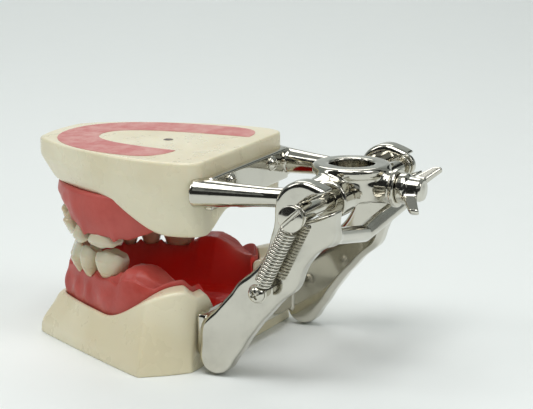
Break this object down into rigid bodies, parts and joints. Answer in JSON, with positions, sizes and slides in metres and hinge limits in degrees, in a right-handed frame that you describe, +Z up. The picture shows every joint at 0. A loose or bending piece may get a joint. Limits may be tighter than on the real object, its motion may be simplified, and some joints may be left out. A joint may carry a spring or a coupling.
{
  "type": "dental articulator",
  "caption": "Dental teaching articulator: partly toothed upper and lower jaw models on a sprung, hinged nickel-plated frame with a wing-screw clamp.",
  "frame": {"origin": "middle of the footprint, on the ground under the lower jaw base", "axes": "+Z up, +Y from the front teeth to the hinge and wing screw, +X towards the patient's left side"},
  "size_m": [0.0956, 0.1376, 0.067],
  "materials": {
    "ivory_acrylic": "satin acrylic, slightly yellow at the top",
    "gum_silicone": "matte soft pink-red",
    "inlay_red": "matte, flush with the top face",
    "tooth_resin": "glossy, greyer than the base",
    "nickel_casting": "polished nickel plate on castings",
    "nickel_fastener": "bright nickel plate on screws and wire",
    "dark_plug": "dark, dull"
  },
  "bodies": {
    "lower_frame": {"lower_bracket": "nickel_casting", "lower_base": "ivory_acrylic", "lower_gingiva": "gum_silicone", "lower_central_left": "tooth_resin", "lower_central_right": "tooth_resin", "lower_lateral_left": "tooth_resin", "lower_lateral_right": "tooth_resin", "lower_canine_left": "tooth_resin", "lower_canine_right": "tooth_resin", "lower_premolar_left": "tooth_resin", "lower_premolar_right": "tooth_resin", "lower_molar_left": "tooth_resin", "lower_molar_right": "tooth_resin", "lower_jaw_screw_1": "nickel_fastener", "lower_jaw_screw_2": "nickel_fastener", "spring_post_screw_left": "nickel_fastener", "spring_post_screw_right": "nickel_fastener", "spring_left": "nickel_fastener", "spring_right": "nickel_fastener"},
    "hinge_carriage": {"hinge_shaft_left": "nickel_fastener", "hinge_shaft_right": "nickel_fastener"},
    "upper_jaw": {"upper_frame": "nickel_casting", "upper_base": "ivory_acrylic", "upper_inlay": "inlay_red", "vent_plug": "dark_plug", "upper_gingiva": "gum_silicone", "upper_central_left": "tooth_resin", "upper_central_right": "tooth_resin", "upper_lateral_left": "tooth_resin", "upper_lateral_right": "tooth_resin", "upper_canine_left": "tooth_resin", "upper_canine_right": "tooth_resin", "upper_premolar_left": "tooth_resin", "upper_premolar_right": "tooth_resin", "upper_molar_left": "tooth_resin", "upper_molar_right": "tooth_resin", "upper_jaw_screw_1": "nickel_fastener", "upper_jaw_screw_2": "nickel_fastener"},
    "clamp_follower": {"clamp_washer": "nickel_fastener"},
    "wing_screw_body": {"wing_screw": "nickel_fastener", "wing_screw_shank": "nickel_fastener"}
  },
  "joints": [
    {"name": "condylar_glide", "type": "slide", "parent": "lower_frame", "child": "hinge_carriage", "axis": [0, 0.9135, 0.4067], "range_m": [0, 0.0035], "stiffness_N_per_m": 600, "springref_m": -0.006, "deforming": ["spring_left", "spring_right"]},
    {"name": "jaw_opening", "type": "hinge", "parent": "hinge_carriage", "child": "upper_jaw", "pos_m": [0, 0.04055, 0.056], "axis": [-1, 0, 0], "range_deg": [0, 38]},
    {"name": "clamp_travel", "type": "slide", "parent": "upper_jaw", "child": "clamp_follower", "axis": [0, 1, 0], "range_m": [0, 0.0016]},
    {"name": "wing_turn", "type": "hinge", "parent": "clamp_follower", "child": "wing_screw_body", "pos_m": [0, 0.05765, 0.0584], "axis": [0, 1, 0], "range_deg": [0, 720]}
  ],
  "couplings": [
    {"joint": "wing_turn", "follows": "clamp_travel", "rad_per_m": 7854}
  ]
}
